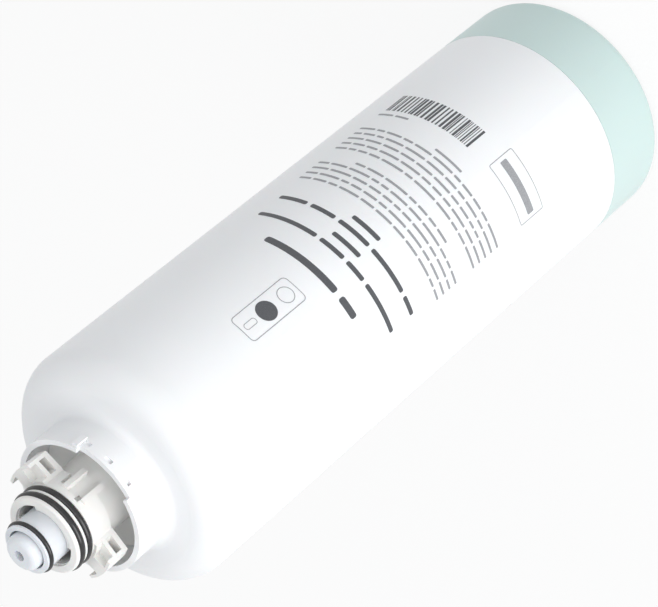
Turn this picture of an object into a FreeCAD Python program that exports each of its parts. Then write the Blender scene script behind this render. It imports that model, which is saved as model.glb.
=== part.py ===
"""Sealed quick-change reverse osmosis membrane cartridge, built standing on its cap end.

Frame: millimetres, +Z up the axis toward the ports, origin on the axis at the foot of the end cap.
+X passes between the two kidney windows, on the side that carries the ratchet pockets of the collar.
"""
import FreeCAD, Part
import math
import os
import Sketcher

doc = FreeCAD.newDocument("membrane_element")
sheet = doc.addObject("Spreadsheet::Sheet", "Sizes")

# name, value (mm or degrees), what it drives
SIZES = [
    ("body_d", 100.0, "outside diameter of shell and end cap"),
    ("shell_wall", 3.5, "wall of the shell"),
    ("seat", 0.2, "gap left where one piece rests on another"),
    ("slide", 0.2, "radial gap where one piece slips into another"),
    ("squeeze", 0.05, "gap between an o-ring and its groove floor"),
    ("cap_len", 34.0, "visible length of the end cap"),
    ("cap_edge", 5.0, "round on the far edge of the end cap"),
    ("cap_floor", 5.2, "thickness of the cap floor"),
    ("foot_depth", 1.2, "dish under the cap"),
    ("foot_dish_d", 76.0, "diameter of that dish"),
    ("lip_len", 8.0, "cap lip that slips inside the shell"),
    ("lip_wall", 3.3, "wall of that lip"),
    ("socket_d", 28.0, "outside of the core socket in the cap"),
    ("socket_floor", 2.0, "floor of that socket above the cap floor"),
    ("rest_rise", 4.6, "height of the cap ribs above the cap floor"),
    ("rest_wide", 2.5, "thickness of those ribs"),
    ("head_room", 17.9, "from the bell roof up to the flat shoulder"),
    ("shoulder_r", 11.5, "round of the shoulder"),
    ("shoulder_wall", 4.5, "thickness of the shoulder"),
    ("skirt_len", 8.0, "neck skirt below the shoulder wall"),
    ("skirt_wall", 3.0, "wall of the neck skirt"),
    ("neck_bore_d", 44.0, "bore through the shoulder"),
    ("collar_d", 57.4, "outside diameter of the collar"),
    ("collar_wall", 2.2, "wall of the collar"),
    ("collar_rise", 17.5, "collar height above the shoulder"),
    ("cove_r", 3.5, "cove where collar meets shoulder"),
    ("rim_drop", 1.9, "set-back of the rim over the ratchet sector"),
    ("rim_turn", 8.0, "azimuth of the middle of the set-back"),
    ("rim_sweep", 54.0, "sweep of the set-back"),
    ("catch_drop", 5.5, "ratchet pocket top below the collar rim"),
    ("catch_tall", 1.7, "height of a ratchet pocket"),
    ("catch_deep", 1.3, "depth of a ratchet pocket at its deep end"),
    ("catch_sweep", 9.5, "sweep of a ratchet pocket"),
    ("catch_pitch", 20.5, "angle between ratchet pockets"),
    ("catch_first", -12.0, "azimuth where the first pocket starts"),
    ("tab_turn", 37.8, "azimuth of the stop tab"),
    ("tab_sweep", 4.8, "sweep of the stop tab"),
    ("tab_tall", 5.9, "length of the stop tab"),
    ("tab_proud", 1.0, "how far the stop tab stands out"),
    ("disc_tall", 4.0, "thickness of the stem disc on the collar floor"),
    ("sleeve_len", 9.8, "stem sleeve below the shoulder"),
    ("stem_neck_d", 29.6, "stem neck behind the barrel"),
    ("stem_bore_d", 26.0, "bore of the stem"),
    ("barrel_d", 32.8, "stem barrel that carries the o-rings"),
    ("barrel_rise", 18.8, "barrel start above the shoulder"),
    ("face_rise", 37.1, "stem front face above the shoulder"),
    ("face_edge", 0.9, "round on the edge of the stem face"),
    ("plate_tall", 2.6, "thickness of the windowed front plate"),
    ("recess_deep", 1.2, "ring recess in the front face"),
    ("recess_d", 26.4, "outside of that recess"),
    ("window_d", 25.8, "outside of the kidney windows"),
    ("window_sweep", 66.0, "sweep of one kidney window"),
    ("window_turn", 90.0, "azimuth of the first kidney window"),
    ("ring_d", 31.6, "centre-line diameter of the large o-rings"),
    ("ring_thick", 2.6, "cord of the large o-rings"),
    ("ring_set", 2.9, "front large o-ring below the stem face"),
    ("ring_pitch", 3.96, "distance between the large o-rings"),
    ("groove_play", 0.3, "groove width beyond the cord"),
    ("rib_d", 34.4, "outside of the two axial ribs"),
    ("rib_drop", 4.3, "rib tail below the barrel start"),
    ("rib_rise", 6.8, "rib nose above the barrel start"),
    ("rib_sweep", 7.6, "sweep of a rib"),
    ("rib_one", 1.0, "azimuth of the first rib"),
    ("rib_two", 31.0, "azimuth of the second rib"),
    ("slot_rise", 7.2, "height of the cored slot between the ribs"),
    ("slot_two", 38.4, "azimuth of the narrow cored slot"),
    ("lug_d", 49.0, "outside of the bayonet lugs"),
    ("lug_turn", 90.0, "azimuth of the first lug"),
    ("lug_root", 36.0, "half sweep of a lug at its root"),
    ("lug_tip", 19.0, "half sweep of a lug at its tip"),
    ("lug_drop", 0.7, "lug underside below the barrel start"),
    ("lug_tall", 10.0, "height of a lug"),
    ("lug_skin", 1.3, "wall round the cored lug pockets"),
    ("lug_web", 1.8, "web between the cored lug pockets"),
    ("lug_back", 2.2, "wall behind the rear lug pocket"),
    ("lug_pit", 3.0, "height of the rear lug pocket"),
    ("lug_spine", 8.0, "half sweep of the solid lug spine"),
    ("spigot_d", 20.4, "outside of the inner spigot"),
    ("mouth_d", 16.4, "mouth of the inner spigot"),
    ("mouth_rise", 46.1, "spigot mouth above the shoulder"),
    ("small_d", 20.2, "centre-line diameter of the spigot o-ring"),
    ("small_thick", 1.8, "cord of the spigot o-ring"),
    ("small_set", 2.0, "spigot o-ring below the mouth"),
    ("tip_d", 14.8, "outside of the nozzle tip"),
    ("tip_rise", 50.0, "nozzle tip above the shoulder"),
    ("tip_dome", 2.6, "round of the nozzle tip"),
    ("tip_hole_d", 4.4, "hole in the nozzle tip"),
    ("tip_hole_len", 6.0, "length of that hole"),
    ("nozzle_bore_d", 8.4, "bore of the nozzle below the tip"),
    ("flange_d", 24.0, "flange of the nozzle"),
    ("flange_tall", 2.4, "thickness of that flange"),
    ("shank_len", 13.0, "nozzle shank inside the core tube"),
    ("core_d", 19.0, "outside of the core tube"),
    ("core_bore_d", 13.2, "bore of the core tube"),
    ("core_proud", 1.6, "core tube beyond the hub of the upper end disc"),
    ("core_hole_d", 3.0, "permeate holes in the core tube"),
    ("core_hole_set", 28.8, "first and last row of permeate holes from the ends of the roll"),
    ("plug_thick", 1.8, "cord of the small seals inside the core"),
    ("plug_head", 4.4, "head of the core plug"),
    ("plug_len", 12.0, "shank of the core plug"),
    ("flow_gap", 7.5, "radial space for feed water between the end discs and the shell"),
    ("disc_proud", 1.0, "end disc beyond the roll, all round"),
    ("roll_len", 249.4, "length of the membrane roll"),
    ("wrap_thick", 0.75, "outer wrap of the roll"),
    ("wrap_margin", 4.0, "bare roll at each end of the wrap"),
    ("disc_rim", 4.0, "radial width of an end disc rim"),
    ("disc_hub_d", 26.0, "outside of an end disc hub"),
    ("disc_spoke", 3.0, "width of an end disc spoke"),
    ("disc_low", 5.0, "height of the lower end disc"),
    ("disc_web", 4.2, "height of hub and spokes of the upper end disc"),
    ("disc_high", 9.6, "height of the upper end disc rim"),
    ("bell_gap", 1.4, "radial gap bridged by the brine seal"),
    ("bell_wall", 2.2, "wall of the bell skirt"),
    ("bell_roof", 4.0, "roof of the bell"),
    ("bell_skirt", 13.0, "skirt of the bell"),
    ("seal_tall", 4.2, "height of the brine seal"),
    ("seal_deep", 1.8, "groove depth for the brine seal"),
    ("spacer_tall", 8.0, "height of the spacer ring"),
    ("spacer_slot", 9.0, "width of the flow slots in the spacer ring"),
]


class Size:
    """A number together with the sheet formula that gives it."""

    def __init__(self, value, text):
        self.value, self.text = value, text

    @staticmethod
    def of(item):
        return item if isinstance(item, Size) else Size(float(item), "(%r)" % float(item))

    def __add__(self, other):
        other = Size.of(other)
        return Size(self.value + other.value, "(%s + %s)" % (self.text, other.text))

    def __sub__(self, other):
        other = Size.of(other)
        return Size(self.value - other.value, "(%s - %s)" % (self.text, other.text))

    def __mul__(self, other):
        other = Size.of(other)
        return Size(self.value * other.value, "(%s * %s)" % (self.text, other.text))

    def __truediv__(self, other):
        other = Size.of(other)
        return Size(self.value / other.value, "(%s / %s)" % (self.text, other.text))

    def __radd__(self, other):
        return Size.of(other) + self

    def __rsub__(self, other):
        return Size.of(other) - self

    def __neg__(self):
        return Size.of(0) - self

    def cos(self):
        return Size(math.cos(math.radians(self.value)), "cos(%s * 1 deg)" % self.text)

    def sin(self):
        return Size(math.sin(math.radians(self.value)), "sin(%s * 1 deg)" % self.text)


for row, (alias, value, note) in enumerate(SIZES, start=1):
    sheet.set("A%d" % row, note)
    sheet.set("B%d" % row, repr(value))
    sheet.setAlias("B%d" % row, alias)
doc.recompute()
S = {alias: Size(value, "Sizes." + alias) for alias, value, note in SIZES}
nodes = {}


def new_body(name):
    body = doc.addObject("PartDesign::Body", name)
    body.Label = name
    nodes[name] = body
    return body


def plane_of(body, role):
    return [item for item in body.Origin.OriginFeatures if item.Role == role][0]


def draw(body, name, points, role="XZ_Plane", turn=None, lift=None):
    """Closed outline through points; turn swings a radial outline about Z, lift raises a plan outline."""
    sketch = body.newObject("Sketcher::SketchObject", name)
    sketch.AttachmentSupport = [(plane_of(body, role), "")]
    sketch.MapMode = "FlatFace"
    if turn is not None:
        spin = FreeCAD.Rotation(FreeCAD.Vector(0, 1, 0), turn.value)
        sketch.AttachmentOffset = FreeCAD.Placement(FreeCAD.Vector(0, 0, 0), spin)
        sketch.setExpression("AttachmentOffset.Rotation.Angle", turn.text)
    if lift is not None:
        sketch.AttachmentOffset = FreeCAD.Placement(FreeCAD.Vector(0, 0, lift.value), FreeCAD.Rotation())
        sketch.setExpression("AttachmentOffset.Base.z", lift.text)
    points = [(Size.of(x), Size.of(y)) for x, y in points]
    count = len(points)
    for i in range(count):
        (xa, ya), (xb, yb) = points[i], points[(i + 1) % count]
        sketch.addGeometry(Part.LineSegment(FreeCAD.Vector(xa.value, ya.value, 0),
                                            FreeCAD.Vector(xb.value, yb.value, 0)), False)
    for i in range(count):
        sketch.addConstraint(Sketcher.Constraint("Coincident", i, 2, (i + 1) % count, 1))
    for i, (x, y) in enumerate(points):
        for kind, size, axis in (("DistanceX", x, -2), ("DistanceY", y, -1)):
            if size.value == 0:
                sketch.addConstraint(Sketcher.Constraint("PointOnObject", i, 1, axis))
            else:
                index = sketch.addConstraint(Sketcher.Constraint(kind, -1, 1, i, 1, size.value))
                sketch.setExpression("Constraints[%d]" % index, size.text)
    return sketch


def spin(body, name, points, cut=False, turn=None, sweep=None):
    """Turn an outline of (radius, height) points about Z, all the way or over a sweep centred on turn."""
    sketch = draw(body, name + "_outline", points, turn=turn)
    kind = "PartDesign::Groove" if cut else "PartDesign::Revolution"
    feature = body.newObject(kind, name)
    feature.Profile = sketch
    feature.ReferenceAxis = (sketch, ["V_Axis"])
    feature.Angle = 360.0
    if sweep is not None:
        feature.Midplane = True
        feature.Angle = sweep.value
        feature.setExpression("Angle", sweep.text)
    sketch.Visibility = False
    doc.recompute()
    return feature


def extrude(body, name, points, base, tall, cut=False):
    """Raise a plan outline from height base by tall, adding or cutting."""
    sketch = draw(body, name + "_plan", points, role="XY_Plane", lift=base)
    feature = body.newObject("PartDesign::Pocket" if cut else "PartDesign::Pad", name)
    feature.Profile = sketch
    feature.Length = tall.value
    feature.setExpression("Length", tall.text)
    feature.Reversed = cut
    sketch.Visibility = False
    doc.recompute()
    return feature


def around(body, name, features, count):
    pattern = body.newObject("PartDesign::PolarPattern", name)
    pattern.Originals = features
    turned = features[0].TypeId in ("PartDesign::Groove", "PartDesign::Revolution")
    pattern.Axis = (features[0].Profile[0], ["V_Axis" if turned else "N_Axis"])
    pattern.Angle = 360
    pattern.Occurrences = count
    body.Tip = pattern
    doc.recompute()
    return pattern


def dress(body, name, kind, size, test):
    """Round ("Fillet") or bevel ("Chamfer") the circular edges for which test(radius, height) holds."""
    tip = body.Tip
    picked = []
    for number, edge in enumerate(tip.Shape.Edges, start=1):
        curve = edge.Curve
        if isinstance(curve, Part.Circle) and abs(curve.Axis.z) > 0.999:
            if abs(curve.Center.x) + abs(curve.Center.y) < 1e-6 and test(curve.Radius, curve.Center.z):
                picked.append("Edge%d" % number)
    feature = body.newObject("PartDesign::" + kind, name)
    feature.Base = (tip, picked)
    key = "Radius" if kind == "Fillet" else "Size"
    setattr(feature, key, size.value)
    feature.setExpression(key, size.text)
    doc.recompute()
    return feature


def near(a, b):
    return abs(a - b) < 1e-4


def polar(radius, angle):
    return radius * angle.cos(), radius * angle.sin()


def box(r_low, z_low, r_high, z_high):
    return [(r_low, z_low), (r_high, z_low), (r_high, z_high), (r_low, z_high)]


def groove_steps(outer, floor, middle, width):
    """Outline points, going up, of one o-ring groove."""
    return [(outer, middle - width / 2), (floor, middle - width / 2),
            (floor, middle + width / 2), (outer, middle + width / 2)]


def o_ring(name, line_d, thick, height):
    ring = doc.addObject("Part::Torus", name)
    ring.Label = name
    ring.Radius1, ring.Radius2 = line_d.value / 2, thick.value / 2
    ring.setExpression("Radius1", (line_d / 2).text)
    ring.setExpression("Radius2", (thick / 2).text)
    ring.Placement = FreeCAD.Placement(FreeCAD.Vector(0, 0, height.value), FreeCAD.Rotation())
    ring.setExpression("Placement.Base.z", height.text)
    nodes[name] = ring
    return ring


# heights and radii shared by several pieces
seat, slide, squeeze = S["seat"], S["slide"], S["squeeze"]
body_r = S["body_d"] / 2
shell_in = body_r - S["shell_wall"]
lip_out = shell_in - slide
lip_in = lip_out - S["lip_wall"]
rest_top = S["cap_floor"] + S["rest_rise"]
socket_r = S["socket_d"] / 2
core_r, core_in = S["core_d"] / 2, S["core_bore_d"] / 2
socket_in = core_r + slide * 3
disc_r = shell_in - S["flow_gap"]
roll_r = disc_r - S["disc_proud"]
low_disc_z = rest_top + seat
roll_z = low_disc_z + S["disc_low"] + seat
roll_top = roll_z + S["roll_len"]
high_disc_z = roll_top + seat
bell_z = high_disc_z + S["disc_high"] + seat
bell_top = bell_z + S["bell_roof"]
bell_in = disc_r + S["bell_gap"]
shoulder = bell_top + S["head_room"]
roof = shoulder - S["shoulder_wall"]
neck_in = S["neck_bore_d"] / 2
collar_r = S["collar_d"] / 2
collar_in = collar_r - S["collar_wall"]
collar_top = shoulder + S["collar_rise"]
barrel_r, neck_r = S["barrel_d"] / 2, S["stem_neck_d"] / 2
barrel_z = shoulder + S["barrel_rise"]
face_z = shoulder + S["face_rise"]
stem_in = S["stem_bore_d"] / 2
front_z = face_z - S["ring_set"]
rear_z = front_z - S["ring_pitch"]
spigot_r, mouth_r = S["spigot_d"] / 2, S["mouth_d"] / 2
mouth_z = shoulder + S["mouth_rise"]
small_z = mouth_z - S["small_set"]
plug_foot = S["cap_floor"] + S["socket_floor"] + seat
plug_seat = plug_foot + S["plug_head"]
core_foot = plug_seat + seat
core_top = high_disc_z + S["disc_web"] + S["core_proud"]
flange_z = core_top + seat
shank_z = flange_z - S["shank_len"]
tip_z = shoulder + S["tip_rise"]
tip_r = S["tip_d"] / 2
shank_r = core_in - slide
plug_line = S["core_bore_d"] - S["plug_thick"] - squeeze * 2
seal_width = S["plug_thick"] + S["groove_play"]
seal_floor = plug_line / 2 - S["plug_thick"] / 2 - squeeze
high_seal_z, low_seal_z = flange_z - 4, flange_z - 9

# end cap: dished foot, lip that enters the shell, socket for the core, ribs that carry the roll
cap = new_body("end_cap")
spin(cap, "cap_turned", [
    (0, S["foot_depth"]), (S["foot_dish_d"] / 2, S["foot_depth"]), (S["foot_dish_d"] / 2, 0), (body_r, 0),
    (body_r, S["cap_len"]), (lip_out, S["cap_len"]), (lip_out, S["cap_len"] + S["lip_len"]),
    (lip_in, S["cap_len"] + S["lip_len"]), (lip_in, S["cap_floor"]), (socket_r, S["cap_floor"]),
    (socket_r, rest_top), (socket_in, rest_top), (socket_in, S["cap_floor"] + S["socket_floor"]),
    (0, S["cap_floor"] + S["socket_floor"])])
dress(cap, "cap_far_round", "Fillet", S["cap_edge"], lambda r, z: near(r, body_r.value) and near(z, 0))
half = S["rest_wide"] / 2
rib = extrude(cap, "cap_rib", [(socket_r - 0.5, -half), (lip_in + 0.5, -half), (lip_in + 0.5, half),
                               (socket_r - 0.5, half)], S["cap_floor"] - 0.5, S["rest_rise"] + 0.5)
around(cap, "cap_ribs", [rib], 6)

# housing shell: tube, rounded shoulder, neck skirt inside and open collar outside
shell = new_body("housing_shell")
spin(shell, "shell_turned", [
    (shell_in, S["cap_len"] + seat), (body_r, S["cap_len"] + seat), (body_r, shoulder), (collar_r, shoulder),
    (collar_r, collar_top), (collar_in, collar_top), (collar_in, shoulder), (neck_in, shoulder),
    (neck_in, roof - S["skirt_len"]), (neck_in + S["skirt_wall"], roof - S["skirt_len"]),
    (neck_in + S["skirt_wall"], roof), (shell_in, roof)])
dress(shell, "shoulder_round", "Fillet", S["shoulder_r"],
      lambda r, z: near(r, body_r.value) and near(z, shoulder.value))
dress(shell, "shoulder_inner_round", "Fillet", S["shoulder_r"] - S["shell_wall"],
      lambda r, z: near(r, shell_in.value) and near(z, roof.value))
dress(shell, "collar_cove", "Fillet", S["cove_r"],
      lambda r, z: near(r, collar_r.value) and near(z, shoulder.value))
spin(shell, "rim_set_back", box(collar_in - 1, collar_top - S["rim_drop"], collar_r + 1, collar_top + 1),
     cut=True, turn=S["rim_turn"], sweep=S["rim_sweep"])
for number in range(3):
    start = S["catch_first"] + S["catch_pitch"] * number
    end = start + S["catch_sweep"]
    extrude(shell, "ratchet_pocket_%d" % (number + 1),
            [polar(collar_r - S["catch_deep"], start), polar(collar_r + 0.6, start),
             polar(collar_r + 0.6, end)],
            collar_top - S["catch_drop"], S["catch_tall"], cut=True)
spin(shell, "stop_tab", box(collar_r - 0.6, collar_top - 0.7 - S["tab_tall"], collar_r + S["tab_proud"],
                            collar_top - 0.7), turn=S["tab_turn"], sweep=S["tab_sweep"])

# port stem: disc on the collar floor, neck, grooved barrel, windowed face, cored slots, ribs, bayonet lugs
stem = new_body("port_stem")
sleeve_r = neck_in - slide
sleeve_foot = shoulder - S["sleeve_len"]
neck_seal_z = shoulder - S["sleeve_len"] / 2
neck_seal_line = S["neck_bore_d"] - S["ring_thick"] - squeeze * 2
ring_width = S["ring_thick"] + S["groove_play"]
neck_floor = neck_seal_line / 2 - S["ring_thick"] / 2 - squeeze
ring_floor = S["ring_d"] / 2 - S["ring_thick"] / 2 - squeeze
port_r = spigot_r + slide
recess_z = face_z - S["recess_deep"]
plate_z = recess_z - S["plate_tall"]
spin(stem, "stem_turned",
     [(stem_in, sleeve_foot), (sleeve_r, sleeve_foot)]
     + groove_steps(sleeve_r, neck_floor, neck_seal_z, ring_width)
     + [(sleeve_r, shoulder + seat), (collar_in - slide, shoulder + seat),
        (collar_in - slide, shoulder + seat + S["disc_tall"]), (neck_r, shoulder + seat + S["disc_tall"]),
        (neck_r, barrel_z), (barrel_r, barrel_z)]
     + groove_steps(barrel_r, ring_floor, rear_z, ring_width)
     + groove_steps(barrel_r, ring_floor, front_z, ring_width)
     + [(barrel_r, face_z), (S["recess_d"] / 2, face_z), (S["recess_d"] / 2, recess_z),
        (port_r, recess_z), (port_r, plate_z), (stem_in, plate_z)])
dress(stem, "face_round", "Fillet", S["face_edge"],
      lambda r, z: near(r, barrel_r.value) and near(z, face_z.value))
window = spin(stem, "kidney_window", box(port_r - 1, plate_z - 1, S["window_d"] / 2, recess_z + 1),
              cut=True, turn=S["window_turn"], sweep=S["window_sweep"])
around(stem, "kidney_windows", [window], 2)
slot_middle = (S["rib_one"] + S["rib_two"]) / 2
slot_sweep = S["rib_two"] - S["rib_one"] - S["rib_sweep"]
spin(stem, "slot_between_ribs", box(neck_r, barrel_z - 1, barrel_r + 1, barrel_z + S["slot_rise"]),
     cut=True, turn=slot_middle, sweep=slot_sweep)
spin(stem, "slot_narrow", box(neck_r, barrel_z - 1, barrel_r + 1, barrel_z + S["slot_rise"] - 1.6),
     cut=True, turn=S["slot_two"], sweep=S["rib_sweep"])
spin(stem, "slot_pit", box(neck_r - 1.1, barrel_z + S["slot_rise"] - 2.6, barrel_r + 1,
                           barrel_z + S["slot_rise"] + 0.9),
     cut=True, turn=S["rib_one"] + S["rib_sweep"], sweep=S["rib_sweep"] * 0.9)
for label, turn in (("rib_at_slot", S["rib_one"]), ("rib_between_slots", S["rib_two"])):
    spin(stem, label, box(neck_r - 0.6, barrel_z - S["rib_drop"], S["rib_d"] / 2, barrel_z + S["rib_rise"]),
         turn=turn, sweep=S["rib_sweep"])
lug_z = barrel_z - S["lug_drop"]
lug_r = S["lug_d"] / 2
corner = [polar(barrel_r - 1.0, S["lug_turn"] - S["lug_root"])]
corner += [polar(lug_r, S["lug_turn"] + S["lug_tip"] * step) for step in (-1, -0.5, 0, 0.5, 1)]
corner += [polar(barrel_r - 1.0, S["lug_turn"] + S["lug_root"])]
lug = extrude(stem, "bayonet_lug", corner, lug_z, S["lug_tall"])
cores = [lug]
pit_sweep = S["lug_root"] - S["lug_spine"] + 4
for side in (-1, 1):
    pit_turn = S["lug_turn"] + (S["lug_spine"] + pit_sweep / 2) * side
    low = lug_z + S["lug_back"]
    high = low + S["lug_pit"] + S["lug_web"]
    for label, z_low, z_high in (("rear", low, low + S["lug_pit"]),
                                 ("front", high, lug_z + S["lug_tall"] + 0.3)):
        cores.append(spin(stem, "lug_%s_pocket_%s" % (label, "near" if side < 0 else "far"),
                          box(barrel_r + 1.2, z_low, lug_r - S["lug_skin"], z_high),
                          cut=True, turn=pit_turn, sweep=pit_sweep))
around(stem, "bayonet_lugs", cores, 2)
o_ring("stem_o_ring_front", S["ring_d"], S["ring_thick"], front_z)
o_ring("stem_o_ring_rear", S["ring_d"], S["ring_thick"], rear_z)
o_ring("neck_seal_ring", neck_seal_line, S["ring_thick"], neck_seal_z)

# inner spigot: concentrate tube on a bell that caps the upper end of the roll
bell = new_body("inner_spigot")
small_floor = S["small_d"] / 2 - S["small_thick"] / 2 - squeeze
spin(bell, "bell_turned",
     [(mouth_r, bell_z), (bell_in, bell_z), (bell_in, bell_top - S["bell_skirt"]),
      (bell_in + S["bell_wall"], bell_top - S["bell_skirt"]), (bell_in + S["bell_wall"], bell_top),
      (spigot_r, bell_top)]
     + groove_steps(spigot_r, small_floor, small_z, S["small_thick"] + S["groove_play"])
     + [(spigot_r, mouth_z), (mouth_r, mouth_z)])
dress(bell, "bell_rounds", "Fillet", S["bell_wall"], lambda r, z: near(z, bell_top.value) and r > 9)
o_ring("spigot_o_ring", S["small_d"], S["small_thick"], small_z)

# permeate nozzle: domed tip, flange on the core tube, shank with two seals inside it
nozzle = new_body("permeate_nozzle")
hole_r, bore_r = S["tip_hole_d"] / 2, S["nozzle_bore_d"] / 2
spin(nozzle, "nozzle_turned",
     [(bore_r, shank_z), (shank_r, shank_z)]
     + groove_steps(shank_r, seal_floor, low_seal_z, seal_width)
     + groove_steps(shank_r, seal_floor, high_seal_z, seal_width)
     + [(shank_r, flange_z), (S["flange_d"] / 2, flange_z), (S["flange_d"] / 2, flange_z + S["flange_tall"]),
        (tip_r, flange_z + S["flange_tall"]), (tip_r, tip_z), (hole_r, tip_z),
        (hole_r, tip_z - S["tip_hole_len"]), (bore_r, tip_z - S["tip_hole_len"])])
dress(nozzle, "tip_dome", "Fillet", S["tip_dome"], lambda r, z: near(r, tip_r.value) and near(z, tip_z.value))
o_ring("nozzle_seal_upper", plug_line, S["plug_thick"], high_seal_z)
o_ring("nozzle_seal_lower", plug_line, S["plug_thick"], low_seal_z)

# core tube with its permeate holes, plug and seal
core = new_body("core_tube")
spin(core, "core_turned", box(core_in, core_foot, core_r, core_top))
rows = 6
hole_pitch = (S["roll_len"] - S["core_hole_set"] * 2) / (rows - 1)
for row in range(rows):
    height = roll_z + S["core_hole_set"] + hole_pitch * row
    drill = core.newObject("Sketcher::SketchObject", "hole_centre_%d" % (row + 1))
    drill.AttachmentSupport = [(plane_of(core, "XZ_Plane" if row % 2 else "YZ_Plane"), "")]
    drill.MapMode = "FlatFace"
    drill.addGeometry(Part.Circle(FreeCAD.Vector(0, height.value, 0), FreeCAD.Vector(0, 0, 1),
                                  S["core_hole_d"].value / 2), False)
    drill.addConstraint(Sketcher.Constraint("PointOnObject", 0, 3, -2))
    index = drill.addConstraint(Sketcher.Constraint("DistanceY", -1, 1, 0, 3, height.value))
    drill.setExpression("Constraints[%d]" % index, height.text)
    index = drill.addConstraint(Sketcher.Constraint("Diameter", 0, S["core_hole_d"].value))
    drill.setExpression("Constraints[%d]" % index, S["core_hole_d"].text)
    hole = core.newObject("PartDesign::Pocket", "permeate_hole_%d" % (row + 1))
    hole.Profile = drill
    hole.Midplane = True
    hole.Length = S["core_d"].value + 4
    hole.setExpression("Length", (S["core_d"] + 4).text)
    drill.Visibility = False
    doc.recompute()
plug = new_body("core_plug")
plug_seal_z = plug_seat + S["plug_len"] / 2 + 1
spin(plug, "plug_turned",
     [(0, plug_foot), (core_r, plug_foot), (core_r, plug_seat), (shank_r, plug_seat)]
     + groove_steps(shank_r, seal_floor, plug_seal_z, seal_width)
     + [(shank_r, plug_seat + S["plug_len"]), (0, plug_seat + S["plug_len"])])
o_ring("plug_o_ring", plug_line, S["plug_thick"], plug_seal_z)

# membrane roll, its wrap and the two spoked end discs
roll = new_body("membrane_roll")
spin(roll, "roll_turned", box(core_r + slide, roll_z, roll_r, roll_top))
wrap = new_body("outer_wrap")
wrap_in = roll_r + squeeze * 2
spin(wrap, "wrap_turned", box(wrap_in, roll_z + S["wrap_margin"], wrap_in + S["wrap_thick"],
                              roll_top - S["wrap_margin"]))
hub_in = core_r + slide * 2
rim_in = disc_r - S["disc_rim"]
half = S["disc_spoke"] / 2
for name, foot, web_top, rim_top in (
        ("bottom_end_disc", low_disc_z, low_disc_z + S["disc_low"], low_disc_z + S["disc_low"]),
        ("top_end_disc", high_disc_z, high_disc_z + S["disc_web"], high_disc_z + S["disc_high"])):
    disc = new_body(name)
    if name == "top_end_disc":
        groove_z = high_disc_z + S["disc_high"] / 2
        groove_half = (S["seal_tall"] + S["groove_play"]) / 2
        rim = [(rim_in, foot), (disc_r, foot), (disc_r, groove_z - groove_half),
               (disc_r - S["seal_deep"], groove_z - groove_half),
               (disc_r - S["seal_deep"], groove_z + groove_half),
               (disc_r, groove_z + groove_half), (disc_r, rim_top), (rim_in, rim_top)]
    else:
        rim = box(rim_in, foot, disc_r, rim_top)
    spin(disc, name + "_rim", rim)
    spoke = extrude(disc, name + "_spoke",
                    [(hub_in + 1, -half), (rim_in + 0.6, -half), (rim_in + 0.6, half), (hub_in + 1, half)],
                    foot, web_top - foot)
    around(disc, name + "_spokes", [spoke], 6)
    spin(disc, name + "_hub", box(hub_in, foot, S["disc_hub_d"] / 2, web_top))

# brine seal: base ring in the upper disc groove with a lip that reaches the bell
seal = new_body("brine_seal")
seal_in = disc_r - S["seal_deep"] + squeeze
seal_low = groove_z - S["seal_tall"] / 2
seal_high = groove_z + S["seal_tall"] / 2
spin(seal, "seal_turned", [
    (seal_in, seal_low), (disc_r + 0.4, seal_low), (bell_in - squeeze * 2, seal_high - 0.7),
    (bell_in - squeeze * 2, seal_high), (bell_in - 0.8, seal_high), (disc_r - 0.3, seal_low + 1.6),
    (seal_in, seal_low + 1.6)])

# spacer ring that centres the lower end of the roll in the cap
spacer = new_body("spacer_ring")
spacer_in, spacer_out = disc_r + slide * 2, lip_in - slide
spin(spacer, "spacer_turned", box(spacer_in, low_disc_z, spacer_out, low_disc_z + S["spacer_tall"]))
half = S["spacer_slot"] / 2
slot = extrude(spacer, "spacer_slot", [
    (disc_r - 2, -half), (lip_in + 2, -half), (lip_in + 2, half), (disc_r - 2, half)],
    low_disc_z + 3, S["spacer_tall"], cut=True)
around(spacer, "spacer_slots", [slot], 8)

doc.recompute()
for name, item in nodes.items():
    assert "Invalid" not in item.State and "Error" not in item.State, name
    shape = item.Shape
    assert not shape.isNull() and shape.isValid() and shape.Volume > 0 and len(shape.Solids) == 1, name
os.makedirs("parts", exist_ok=True)
for name, item in nodes.items():
    item.Shape.exportStep("parts/%s.step" % name)
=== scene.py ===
"""Looks of a sealed reverse osmosis membrane cartridge, laid over its packed model.

Metres, +Z up the axis toward the ports, +X between the two kidney windows. The script dresses the packed
pieces with moulded-plastic, rubber and membrane finishes, lays the print on the shell as thin ink surfaces,
and sets a plain pale stage.
"""
import math

import bpy
import numpy as np
from mathutils import Matrix, Vector


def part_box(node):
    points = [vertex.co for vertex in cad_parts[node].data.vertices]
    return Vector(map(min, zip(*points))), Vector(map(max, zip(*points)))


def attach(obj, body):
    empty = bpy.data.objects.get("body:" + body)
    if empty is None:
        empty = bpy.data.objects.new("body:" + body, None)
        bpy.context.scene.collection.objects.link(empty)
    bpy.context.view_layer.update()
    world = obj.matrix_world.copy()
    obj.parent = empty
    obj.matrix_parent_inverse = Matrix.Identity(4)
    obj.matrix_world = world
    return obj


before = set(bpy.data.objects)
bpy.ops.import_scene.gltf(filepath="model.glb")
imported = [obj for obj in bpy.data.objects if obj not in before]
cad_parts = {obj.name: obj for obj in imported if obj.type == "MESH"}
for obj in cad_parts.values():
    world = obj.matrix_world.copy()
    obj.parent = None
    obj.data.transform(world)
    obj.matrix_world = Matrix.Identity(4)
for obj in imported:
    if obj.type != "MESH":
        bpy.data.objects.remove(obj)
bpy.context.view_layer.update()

bl_info = {
    "name": "Membrane cartridge looks",
    "version": (1, 0, 0),
    "blender": (4, 5, 0),
    "location": "3D Viewport > Sidebar > Cartridge",
    "description": "Finishes, print and stage of a reverse osmosis membrane cartridge",
    "category": "Object",
}

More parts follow.
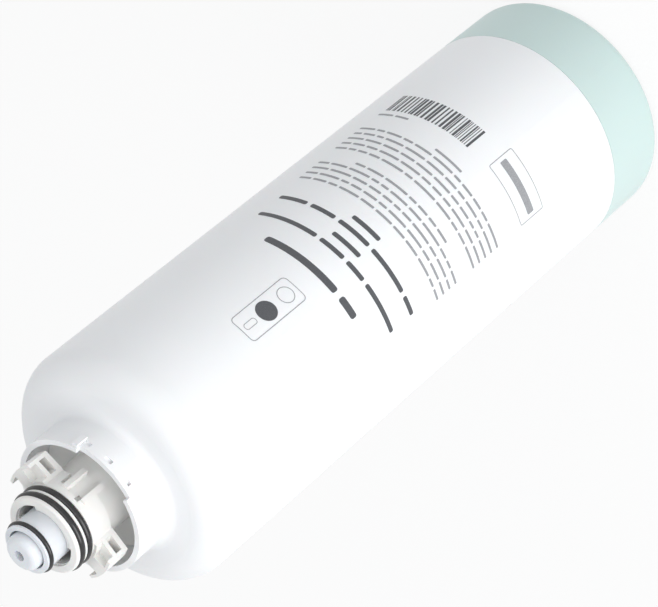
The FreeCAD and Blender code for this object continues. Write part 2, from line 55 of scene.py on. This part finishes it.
MM = 0.001
BODY_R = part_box("housing_shell")[1][0]


# ---------------------------------------------------------------- sizes and colours a user would change

class PrintSettings(bpy.types.PropertyGroup):
    """Sizes of the print on the shell."""
    lift: bpy.props.FloatProperty(
        name="Ink height", description="How far the ink stands off the shell", default=0.03 * MM,
        unit="LENGTH", precision=6)
    word_gap: bpy.props.FloatProperty(
        name="Word gap", description="Gap between word bars, as a share of the line height", default=0.9)
    line_wide: bpy.props.FloatProperty(
        name="Line width", description="Width of the thin outlines", default=0.34 * MM, unit="LENGTH",
        precision=5)
    seed: bpy.props.IntProperty(name="Seed", description="Order of the word and bar widths", default=11)
    ink_dark: bpy.props.FloatVectorProperty(
        name="Dark ink", description="Heading, dot and bar group", subtype="COLOR", size=3,
        default=(0.075, 0.078, 0.086))
    ink_soft: bpy.props.FloatVectorProperty(
        name="Soft ink", description="Small lines and outlines", subtype="COLOR", size=3,
        default=(0.30, 0.305, 0.32))


class FinishSettings(bpy.types.PropertyGroup):
    """Colours and gloss of the moulded pieces."""
    shell: bpy.props.FloatVectorProperty(
        name="Shell", description="White of the shell", subtype="COLOR", size=3, default=(0.86, 0.868, 0.88))
    cap: bpy.props.FloatVectorProperty(
        name="Cap", description="Mint of the end cap", subtype="COLOR", size=3, default=(0.57, 0.70, 0.68))
    stem: bpy.props.FloatVectorProperty(
        name="Stem", description="Warm white of the port stem", subtype="COLOR", size=3,
        default=(0.84, 0.832, 0.81))
    spigot: bpy.props.FloatVectorProperty(
        name="Spigot", description="Cool white of spigot and nozzle", subtype="COLOR", size=3,
        default=(0.74, 0.765, 0.80))
    rubber: bpy.props.FloatVectorProperty(
        name="Rubber", description="Black of the seals", subtype="COLOR", size=3,
        default=(0.010, 0.010, 0.011))
    gloss: bpy.props.FloatProperty(
        name="Roughness", description="Middle roughness of the moulded plastic", default=0.36, min=0, max=1)


class StageSettings(bpy.types.PropertyGroup):
    """Camera and light."""
    azimuth: bpy.props.FloatProperty(
        name="Azimuth", description="Camera direction round the axis, from +X", default=math.radians(0.117),
        subtype="ANGLE")
    elevation: bpy.props.FloatProperty(
        name="Elevation", description="Camera height above the floor as an angle",
        default=math.radians(37.70), subtype="ANGLE")
    roll: bpy.props.FloatProperty(
        name="Roll", description="Turn of the camera about its line of sight", default=math.radians(-129.96),
        subtype="ANGLE")
    distance: bpy.props.FloatProperty(
        name="Distance", description="Camera to the point it looks at", default=1.1652, unit="LENGTH")
    aim_height: bpy.props.FloatProperty(
        name="Aim height", description="Height of the point it looks at", default=0.1658, unit="LENGTH")
    aim_side: bpy.props.FloatProperty(
        name="Aim side", description="Y of the point it looks at", default=-0.0019, unit="LENGTH")
    lens: bpy.props.FloatProperty(name="Lens", description="Focal length in mm", default=161.3)
    key: bpy.props.FloatProperty(name="Key", description="Power of the large soft lamp", default=11.0,
                                 unit="POWER")
    fill: bpy.props.FloatProperty(name="Fill", description="Power of the overhead lamp", default=4.0,
                                  unit="POWER")
    ambient: bpy.props.FloatProperty(name="Ambient", description="Strength of the room light", default=0.62)
    floor_glow: bpy.props.FloatProperty(
        name="Floor white", description="Share of plain white the camera sees in the floor", default=0.86,
        min=0, max=1)


# ---------------------------------------------------------------- shader maths as Python expressions

class Value:
    """One socket of a node tree; an operator on it adds the Math node that works it out."""

    def __init__(self, bench, socket):
        self.bench, self.socket = bench, socket

    def math(self, operation, *others):
        return self.bench.node("Math", {"operation": operation},
                               dict(enumerate((self,) + others)))

    def __add__(self, other): return self.math("ADD", other)

    def __sub__(self, other): return self.math("SUBTRACT", other)

    def __mul__(self, other): return self.math("MULTIPLY", other)

    def __truediv__(self, other): return self.math("DIVIDE", other)

    def __radd__(self, other): return self.math("ADD", other)

    def __rmul__(self, other): return self.math("MULTIPLY", other)

    def __rsub__(self, other):
        return self.bench.node("Math", {"operation": "SUBTRACT"}, {0: other, 1: self})

    def __rtruediv__(self, other):
        return self.bench.node("Math", {"operation": "DIVIDE"}, {0: other, 1: self})

    def step(self, low, high):
        """0 below low, 1 above high, a smooth curve between."""
        return self.bench.node("MapRange", {"interpolation_type": "SMOOTHSTEP"},
                               {0: self, 1: low, 2: high, 3: 0.0, 4: 1.0})


class Bench:
    """Node tree of one material; node() adds a node from its type, settings and inputs."""

    def __init__(self, tree):
        self.tree = tree
        tree.nodes.clear()

    def node(self, kind, settings=None, inputs=None, out=0):
        made = self.tree.nodes.new("ShaderNode" + kind)
        for key, value in (settings or {}).items():
            setattr(made, key, value)
        for key, value in (inputs or {}).items():
            if isinstance(value, Value):
                self.tree.links.new(value.socket, made.inputs[key])
            else:
                made.inputs[key].default_value = value
        return Value(self, made.outputs[out]) if made.outputs else None

    def place(self):
        return self.node("TexCoord", out=3)

    def parts(self, vector):
        """The x, y and z of a vector."""
        split = self.node("SeparateXYZ", None, {0: vector})
        outputs = split.socket.node.outputs
        return [Value(self, outputs[i]) for i in range(3)]

    def noise(self, place, scale, detail=3.0, rough=0.55):
        return self.node("TexNoise", {"noise_dimensions": "3D"},
                         {"Vector": place, "Scale": scale, "Detail": detail, "Roughness": rough})

    def blend(self, factor, first, second):
        """Colour mix: first where factor is 0, second where it is 1."""
        return self.node("Mix", {"data_type": "RGBA"},
                         {0: factor, 6: paint(first), 7: paint(second)}, out=2)

    def plain_rays(self):
        """1 for rays that show the plain white: straight, mirrored and through clear matter."""
        path = self.node("LightPath").socket.node.outputs
        seen = Value(self, path["Is Camera Ray"]) + Value(self, path["Is Glossy Ray"]) \
            + Value(self, path["Is Transmission Ray"])
        return seen.math("MINIMUM", 1.0)

    def bump(self, height, strength, distance):
        return self.node("Bump", None, {"Strength": strength, "Distance": distance, "Height": height})


def paint(colour):
    return colour if isinstance(colour, Value) else (*tuple(colour)[:3], 1.0)


def shade(colour, factor):
    return tuple(min(1.0, part * factor) for part in tuple(colour)[:3])


def finish_material(name, colour, rough, normal=None, sockets=None, build=None):
    """A Principled material; build(bench) gives the varying colour, roughness and normal."""
    material = bpy.data.materials.new(name)
    material.use_nodes = True
    bench = Bench(material.node_tree)
    links = {"Base Color": paint(colour), "Roughness": rough}
    if build:
        links.update(build(bench))
    links.update(sockets or {})
    surface = bench.node("BsdfPrincipled", None, links)
    bench.node("OutputMaterial", None, {"Surface": surface})
    return material


def moulded(colour, rough, grain=0.05, extra=None):
    """Moulded plastic: slow tone drift, satin grain in roughness and bump, and what extra() adds."""
    def build(bench):
        place = bench.place()
        drift = bench.noise(place, 14.0, 2.0)
        grains = bench.noise(place, 1500.0, 2.0, 0.6)
        flow = bench.noise(place, 120.0, 3.0)
        tone = bench.blend(drift.step(0.35, 0.65), shade(colour, 0.985), shade(colour, 1.008))
        gloss = rough + (drift - 0.5) * 0.06 + (flow - 0.5) * 0.07
        height = grains * 0.5 + flow * 0.5
        if extra:
            tone, gloss, height = extra(bench, place, tone, gloss, height)
        return {"Base Color": tone, "Roughness": gloss, "Normal": bench.bump(height, grain, 0.03 * MM)}
    return build


def dress(material, *nodes):
    """Give a finish to packed pieces; their shape and place stay as they are."""
    for name in nodes:
        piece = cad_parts[name]
        if not piece.material_slots:
            piece.data.materials.append(material)
        for slot in piece.material_slots:
            slot.material = material


# ---------------------------------------------------------------- ink surfaces worked out with numpy

def ink_surface(name, arcs, heights, columns, rows, material):
    """A mesh of wrapped grids. arcs and heights are arrays (count, columns, rows) in mm: a point lies at
    azimuth arc / body radius, at the body radius plus the ink height, and at its height on the axis."""
    lift = bpy.context.scene.cartridge_print.lift
    angle = arcs * MM / BODY_R
    radius = BODY_R + lift
    points = np.stack([radius * np.cos(angle), radius * np.sin(angle), heights * MM], axis=-1)
    count = arcs.shape[0]
    i, j = np.meshgrid(np.arange(columns - 1), np.arange(rows - 1), indexing="ij")
    first = (i * rows + j).ravel()
    quad = np.stack([first, first + rows, first + rows + 1, first + 1], axis=-1)
    faces = (quad[None] + (np.arange(count) * columns * rows)[:, None, None]).reshape(-1, 4)
    mesh = bpy.data.meshes.new(name)
    mesh.vertices.add(points.size // 3)
    mesh.vertices.foreach_set("co", points.astype(np.float32).ravel())
    mesh.loops.add(faces.size)
    mesh.loops.foreach_set("vertex_index", faces.astype(np.int32).ravel())
    mesh.polygons.add(len(faces))
    mesh.polygons.foreach_set("loop_start", np.arange(0, faces.size, 4, dtype=np.int32))
    mesh.polygons.foreach_set("loop_total", np.full(len(faces), 4, dtype=np.int32))
    mesh.update(calc_edges=True)
    mesh.validate()
    mesh.polygons.foreach_set("use_smooth", np.ones(len(mesh.polygons), dtype=bool))
    mesh.materials.append(material)
    piece = bpy.data.objects.new(name, mesh)
    bpy.context.scene.collection.objects.link(piece)
    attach(piece, "root")
    return piece


def bar_grids(bars, columns=25):
    """Rounded bars. bars is (count, 5): azimuth in degrees and height of the middle, half length, half
    height and corner radius in mm. Along the bar x = half length * sin(pi s / 2) for s from -1 to 1;
    the half height there is h - c + sqrt(c^2 - max(0, |x| - (length - c))^2); t from -1 to 1 spans it."""
    bars = np.asarray(bars, dtype=float)
    middle, level, long, tall, corner = (bars[:, k, None, None] for k in range(5))
    s = np.sin(np.pi / 2 * np.linspace(-1, 1, columns))[None, :, None]
    t = np.linspace(-1, 1, 3)[None, None, :]
    x = long * s
    past = np.clip(np.abs(x) - (long - corner), 0, corner)
    half = tall - corner + np.sqrt(np.maximum(corner ** 2 - past ** 2, 0))
    arcs = np.radians(middle) * BODY_R / MM + x + 0 * t
    return arcs, level + t * half, columns, 3


def outline_grids(azimuth, level, long, tall, corner, wide, steps=160):
    """A thin closed outline. Its middle line is a rounded rectangle: corner centres (long - c, tall - c)
    plus c (cos q, sin q) as q goes once round, spaced evenly by length; the line spans wide across it."""
    q = np.linspace(0, 2 * np.pi, 4 * 64, endpoint=False) + np.pi / 256
    x = np.sign(np.cos(q)) * (long - corner) + corner * np.cos(q)
    y = np.sign(np.sin(q)) * (tall - corner) + corner * np.sin(q)
    x, y = np.append(x, x[0]), np.append(y, y[0])
    run = np.append(0, np.cumsum(np.hypot(np.diff(x), np.diff(y))))
    even = np.linspace(0, run[-1], steps)
    x, y = np.interp(even, run, x), np.interp(even, run, y)
    dx, dy = np.gradient(x), np.gradient(y)
    dx[[0, -1]], dy[[0, -1]] = dx[1], dy[1]
    size = np.hypot(dx, dy)
    across = np.array([-0.5, 0.5]) * wide
    xs = x[:, None] - (dy / size)[:, None] * across
    ys = y[:, None] + (dx / size)[:, None] * across
    return (np.radians(azimuth) * BODY_R / MM + xs)[None], (level + ys)[None], steps, 2


def words(rng, low, high, level, tall, letter):
    """Word bars that fill a line from azimuth low to high: widths drawn at random, gaps alike."""
    length = math.radians(high - low) * BODY_R / MM
    gap = tall * bpy.context.scene.cartridge_print.word_gap
    count = max(1, round((length + gap) / (letter * 6.0 + gap)))
    share = rng.uniform(0.45, 1.55, count)
    widths = share / share.sum() * (length - gap * (count - 1))
    starts = np.concatenate([[0], np.cumsum(widths + gap)[:-1]])
    middle = low + np.degrees((starts + widths / 2) / (BODY_R / MM))
    ones = np.ones(count)
    return np.stack([middle, level * ones, widths / 2, tall / 2 * ones, tall * 0.32 * ones], axis=1)


# ---------------------------------------------------------------- operators, one for each group of pieces

class CARTRIDGE_OT_housing(bpy.types.Operator):
    """Finish the shell and the end cap."""
    bl_idname = "cartridge.housing"
    bl_label = "Housing"

    def execute(self, context):
        look = context.scene.cartridge_finish
        satin = {"Specular IOR Level": 0.5, "Subsurface Weight": 0.06, "Subsurface Scale": 2.5 * MM,
                 "Coat Roughness": 0.25}
        dress(finish_material("satin_white_shell", look.shell, look.gloss, sockets=satin,
                              build=moulded(look.shell, look.gloss)), "housing_shell")
        dress(finish_material("satin_mint_cap", look.cap, look.gloss, sockets=satin,
                              build=moulded(look.cap, look.gloss + 0.02)), "end_cap")
        return {"FINISHED"}


class CARTRIDGE_OT_ports(bpy.types.Operator):
    """Finish the port stem, the inner spigot and the nozzle."""
    bl_idname = "cartridge.ports"
    bl_label = "Ports"

    def execute(self, context):
        look = context.scene.cartridge_finish
        satin = {"Specular IOR Level": 0.5, "Subsurface Weight": 0.08, "Subsurface Scale": 2.0 * MM}
        dress(finish_material("satin_warm_stem", look.stem, look.gloss, sockets=satin,
                              build=moulded(look.stem, look.gloss, 0.06)), "port_stem")
        dress(finish_material("satin_cool_spigot", look.spigot, look.gloss, sockets=satin,
                              build=moulded(look.spigot, look.gloss - 0.04, 0.04)),
              "inner_spigot", "permeate_nozzle")
        return {"FINISHED"}


class CARTRIDGE_OT_seals(bpy.types.Operator):
    """Finish every rubber seal."""
    bl_idname = "cartridge.seals"
    bl_label = "Seals"

    def execute(self, context):
        look = context.scene.cartridge_finish

        def build(bench):
            place = bench.place()
            bloom = bench.noise(place, 300.0, 4.0)
            pores = bench.noise(place, 2600.0, 2.0)
            tone = bench.blend(bloom.step(0.45, 0.75), look.rubber, shade(look.rubber, 2.4))
            return {"Base Color": tone, "Roughness": 0.24 + (bloom - 0.5) * 0.18,
                    "Normal": bench.bump(pores, 0.08, 0.02 * MM)}

        black = finish_material("greased_black_rubber", look.rubber, 0.24, build=build,
                                sockets={"Specular IOR Level": 0.55})
        dress(black, "stem_o_ring_front", "stem_o_ring_rear", "spigot_o_ring", "neck_seal_ring",
              "nozzle_seal_upper", "nozzle_seal_lower", "plug_o_ring", "brine_seal")
        return {"FINISHED"}


class CARTRIDGE_OT_insides(bpy.types.Operator):
    """Finish the membrane roll, its wrap, the core tube and the discs inside the housing."""
    bl_idname = "cartridge.insides"
    bl_label = "Insides"

    def execute(self, context):
        def winding(bench):
            place = bench.place()
            x, y = bench.parts(place)[:2]
            radius = (x * x + y * y).math("SQRT")
            turn = y.math("ARCTAN2", x) / (2 * math.pi)
            leaf = (radius / (0.9 * MM) + turn).math("FRACT")
            seam = leaf.step(0.0, 0.25) - leaf.step(0.75, 1.0)
            weave = bench.noise(place, 900.0, 2.0)
            tone = bench.blend(seam, (0.34, 0.33, 0.29), (0.78, 0.76, 0.68))
            return {"Base Color": tone, "Roughness": 0.62 + (weave - 0.5) * 0.2,
                    "Normal": bench.bump(seam + weave * 0.3, 0.4, 0.1 * MM)}

        def tape(bench):
            place = bench.place()
            x, y, z = bench.parts(place)
            turn = y.math("ARCTAN2", x) / (2 * math.pi)
            lap = (z / (48 * MM) + turn).math("FRACT")
            edge = lap.step(0.0, 0.02) - lap.step(0.94, 1.0) * 0.5
            fibre = bench.noise(place, 700.0, 3.0)
            tone = bench.blend(edge, (0.30, 0.42, 0.52), (0.50, 0.62, 0.70))
            return {"Base Color": tone, "Roughness": 0.42 + (fibre - 0.5) * 0.2,
                    "Normal": bench.bump(edge + fibre * 0.15, 0.3, 0.1 * MM)}

        dress(finish_material("wound_membrane", (0.78, 0.76, 0.68), 0.62, build=winding), "membrane_roll")
        dress(finish_material("overlapped_tape", (0.5, 0.62, 0.7), 0.42, build=tape), "outer_wrap")
        natural, dark = (0.76, 0.76, 0.73), (0.070, 0.073, 0.080)
        dress(finish_material("natural_core", natural, 0.5, build=moulded(natural, 0.5, 0.1)),
              "core_tube", "core_plug")
        dress(finish_material("dark_disc", dark, 0.5, build=moulded(dark, 0.5, 0.1)),
              "top_end_disc", "bottom_end_disc", "spacer_ring")
        return {"FINISHED"}


def ink(name, colour):
    """Printing ink: a thin semi-matt film, slightly uneven in tone and gloss."""
    def build(bench):
        place = bench.place()
        patchy = bench.noise(place, 2200.0, 3.0, 0.6)
        tone = bench.blend(patchy.step(0.3, 0.75), shade(colour, 0.9), shade(colour, 1.25))
        return {"Base Color": tone, "Roughness": 0.44 + (patchy - 0.5) * 0.16,
                "Normal": bench.bump(patchy, 0.05, 0.01 * MM)}
    return finish_material(name, colour, 0.44, build=build)


class CARTRIDGE_OT_print(bpy.types.Operator):
    """Lay the print on the shell: word bars, a bar group, a pictogram and a plain field."""
    bl_idname = "cartridge.print"
    bl_label = "Print"

    def execute(self, context):
        ps = context.scene.cartridge_print
        rng = np.random.default_rng(ps.seed)
        dark, soft = ink("dark_ink", ps.ink_dark), ink("soft_ink", ps.ink_soft)
        line = ps.line_wide / MM

        heading = np.concatenate([words(rng, -14, -3.4, 198.4, 3.4, 3.4),
                                  words(rng, 0, 40.5, 198.4, 3.4, 9.0)])
        ink_surface("print_heading", *bar_grids(heading), dark)

        large = [words(rng, -30.5, 57, 184.8, 2.3, 2.6), words(rng, 5, 21, 178.6, 2.3, 1.6),
                 words(rng, -30.5, 57, 171.8, 2.3, 2.2), words(rng, 5, 21, 166.0, 2.3, 2.0)]
        ink_surface("print_large_lines", *bar_grids(np.concatenate(large)), dark)

        pitch, tall = 4.05, 1.25
        small = [words(rng, -33.5, 60, 156.2 - pitch * row, tall, 1.05) for row in range(4)]
        small.append(words(rng, -15, 42, 140.0, tall, 1.05))
        small += [words(rng, -33.5, 61, 132.0 - pitch * row, tall, 1.05) for row in range(5)]
        small.append(words(rng, 5, 21, 112.0, tall, 2.0))
        small.append(words(rng, 43, 60.5, 104.0, tall, 1.3))
        ink_surface("print_small_lines", *bar_grids(np.concatenate(small)), soft)

        modules = rng.integers(1, 4, 59).astype(float)
        edges = np.concatenate([[0], np.cumsum(modules)])
        low, high = edges[:-1][::2], edges[1:][::2]
        start, sweep, level = 12, 47.4, 94.2
        span = sweep / edges[-1]
        ones = np.ones(len(low))
        group = np.stack([start + (low + high) / 2 * span, level * ones,
                          np.radians((high - low) / 2 * span) * BODY_R / MM, 6.3 * ones, 0.03 * ones], axis=1)
        ink_surface("print_bar_group", *bar_grids(group, 7), dark)

        middle = 12.7
        ink_surface("print_dot", *bar_grids([[middle, 228.0, 4.45, 4.45, 4.45]], 61), dark)
        for name, azimuth, level, long, tall, corner, wide in (
                ("print_frame", middle, 226.5, 6.1, 16.0, 1.9, line),
                ("print_ring", middle, 216.4, 3.5, 3.5, 3.49, line),
                ("print_window", middle, 237.5, 1.3, 3.1, 1.1, line * 0.8),
                ("print_field", -17.0, 91.4, 14.0, 7.6, 0.8, line)):
            ink_surface(name, *outline_grids(azimuth, level, long, tall, corner, wide), soft)
        ink_surface("print_field_band", *bar_grids([[-17.0, 91.4, 12.2, 2.0, 0.5]]), soft)
        return {"FINISHED"}


class CARTRIDGE_OT_stage(bpy.types.Operator):
    """Make the floor, the soft lamps, the room light and the camera."""
    bl_idname = "cartridge.stage"
    bl_label = "Stage"

    def execute(self, context):
        st = context.scene.cartridge_stage
        scene = context.scene

        # floor: a flat disc, radius growing as the square of its parameter, just under the cap foot
        spokes, rings, reach, below = 97, 24, 4, 0.05 * MM
        turn, out = np.meshgrid(np.linspace(0, 2 * np.pi, spokes), np.linspace(0.02, 1, rings) ** 2,
                                indexing="ij")
        points = np.stack([reach * out * np.cos(turn), reach * out * np.sin(turn), 0 * out - below], axis=-1)
        i, j = np.meshgrid(np.arange(spokes - 1), np.arange(rings - 1), indexing="ij")
        first = (i * rings + j).ravel()
        faces = np.stack([first, first + 1, first + rings + 1, first + rings], axis=-1)
        mesh = bpy.data.meshes.new("pale_floor")
        mesh.from_pydata(points.reshape(-1, 3).tolist(), [], faces.tolist())
        floor = bpy.data.objects.new("pale_floor", mesh)
        scene.collection.objects.link(floor)

        material = bpy.data.materials.new("pale_floor")
        material.use_nodes = True
        bench = Bench(material.node_tree)
        share = bench.plain_rays() * st.floor_glow
        grey = bench.node("BsdfDiffuse", None, {"Color": (0.9, 0.9, 0.9, 1.0)})
        white = bench.node("Emission", None, {"Color": (1.0, 1.0, 1.0, 1.0), "Strength": 1.0})
        both = bench.node("MixShader", None, {0: share, 1: grey, 2: white})
        bench.node("OutputMaterial", None, {"Surface": both})
        mesh.materials.append(material)

        world = bpy.data.worlds.new("soft_room")
        scene.world = world
        world.use_nodes = True
        room = Bench(world.node_tree)
        plain = room.node("Background", None, {"Color": (0.96, 0.98, 1.0, 1.0), "Strength": st.ambient})
        white = room.node("Background", None, {"Color": (1.0, 1.0, 1.0, 1.0), "Strength": 1.0})
        both = room.node("MixShader", None, {0: room.plain_rays(), 1: plain, 2: white})
        room.node("OutputWorld", None, {"Surface": both})

        for name, azimuth, elevation, away, size, power in (
                ("key_softbox", -48, 18, 1.3, 1.0, st.key), ("fill_softbox", 20, 62, 1.4, 1.2, st.fill)):
            data = bpy.data.lights.new(name, "AREA")
            data.shape, data.size, data.energy = "SQUARE", size, power
            lamp = bpy.data.objects.new(name, data)
            a, e = math.radians(azimuth), math.radians(elevation)
            back = Vector((math.cos(e) * math.cos(a), math.cos(e) * math.sin(a), math.sin(e)))
            lamp.location = Vector((0, 0, st.aim_height)) + back * away
            lamp.rotation_mode = "QUATERNION"
            lamp.rotation_quaternion = back.to_track_quat("Z", "Y")
            scene.collection.objects.link(lamp)

        data = bpy.data.cameras.new("camera")
        data.sensor_fit, data.sensor_width, data.lens = "HORIZONTAL", 36.0, st.lens
        data.clip_start, data.clip_end = 0.05, 50.0
        camera = bpy.data.objects.new("camera", data)
        ca, sa, ce, se = (f(v) for v in (st.azimuth, st.elevation) for f in (math.cos, math.sin))
        back = Vector((ce * ca, ce * sa, se))
        level_right, level_up = Vector((-sa, ca, 0)), Vector((-se * ca, -se * sa, ce))
        right = level_right * math.cos(st.roll) + level_up * math.sin(st.roll)
        up = back.cross(right)
        spot = Vector((0, st.aim_side, st.aim_height)) + back * st.distance
        camera.matrix_world = Matrix.Translation(spot) @ Matrix((right, up, back)).transposed().to_4x4()
        scene.collection.objects.link(camera)
        scene.camera = camera
        scene.view_settings.view_transform = "Standard"
        return {"FINISHED"}


class CARTRIDGE_PT_sidebar(bpy.types.Panel):
    """Lists the operators and the settings in the sidebar."""
    bl_idname = "CARTRIDGE_PT_sidebar"
    bl_label = "Cartridge"
    bl_space_type = "VIEW_3D"
    bl_region_type = "UI"
    bl_category = "Cartridge"

    def draw(self, context):
        layout = self.layout
        for step in STEPS:
            layout.operator(step.bl_idname)
        for name, group in SETTINGS:
            box = layout.box()
            box.label(text=group.__doc__)
            settings = getattr(context.scene, name)
            for key in group.__annotations__:
                box.prop(settings, key)


STEPS = (CARTRIDGE_OT_housing, CARTRIDGE_OT_ports, CARTRIDGE_OT_seals, CARTRIDGE_OT_insides,
         CARTRIDGE_OT_print, CARTRIDGE_OT_stage)
SETTINGS = (("cartridge_print", PrintSettings), ("cartridge_finish", FinishSettings),
            ("cartridge_stage", StageSettings))


def register():
    for name, group in SETTINGS:
        bpy.utils.register_class(group)
        setattr(bpy.types.Scene, name, bpy.props.PointerProperty(type=group))
    for item in STEPS + (CARTRIDGE_PT_sidebar,):
        bpy.utils.register_class(item)


def unregister():
    for item in (CARTRIDGE_PT_sidebar,) + STEPS[::-1]:
        bpy.utils.unregister_class(item)
    for name, group in SETTINGS[::-1]:
        delattr(bpy.types.Scene, name)
        bpy.utils.unregister_class(group)


def main():
    register()
    bpy.ops.cartridge.housing()
    bpy.ops.cartridge.ports()
    bpy.ops.cartridge.seals()
    bpy.ops.cartridge.insides()
    bpy.ops.cartridge.print()
    bpy.ops.cartridge.stage()


if __name__ == "__main__":
    main()
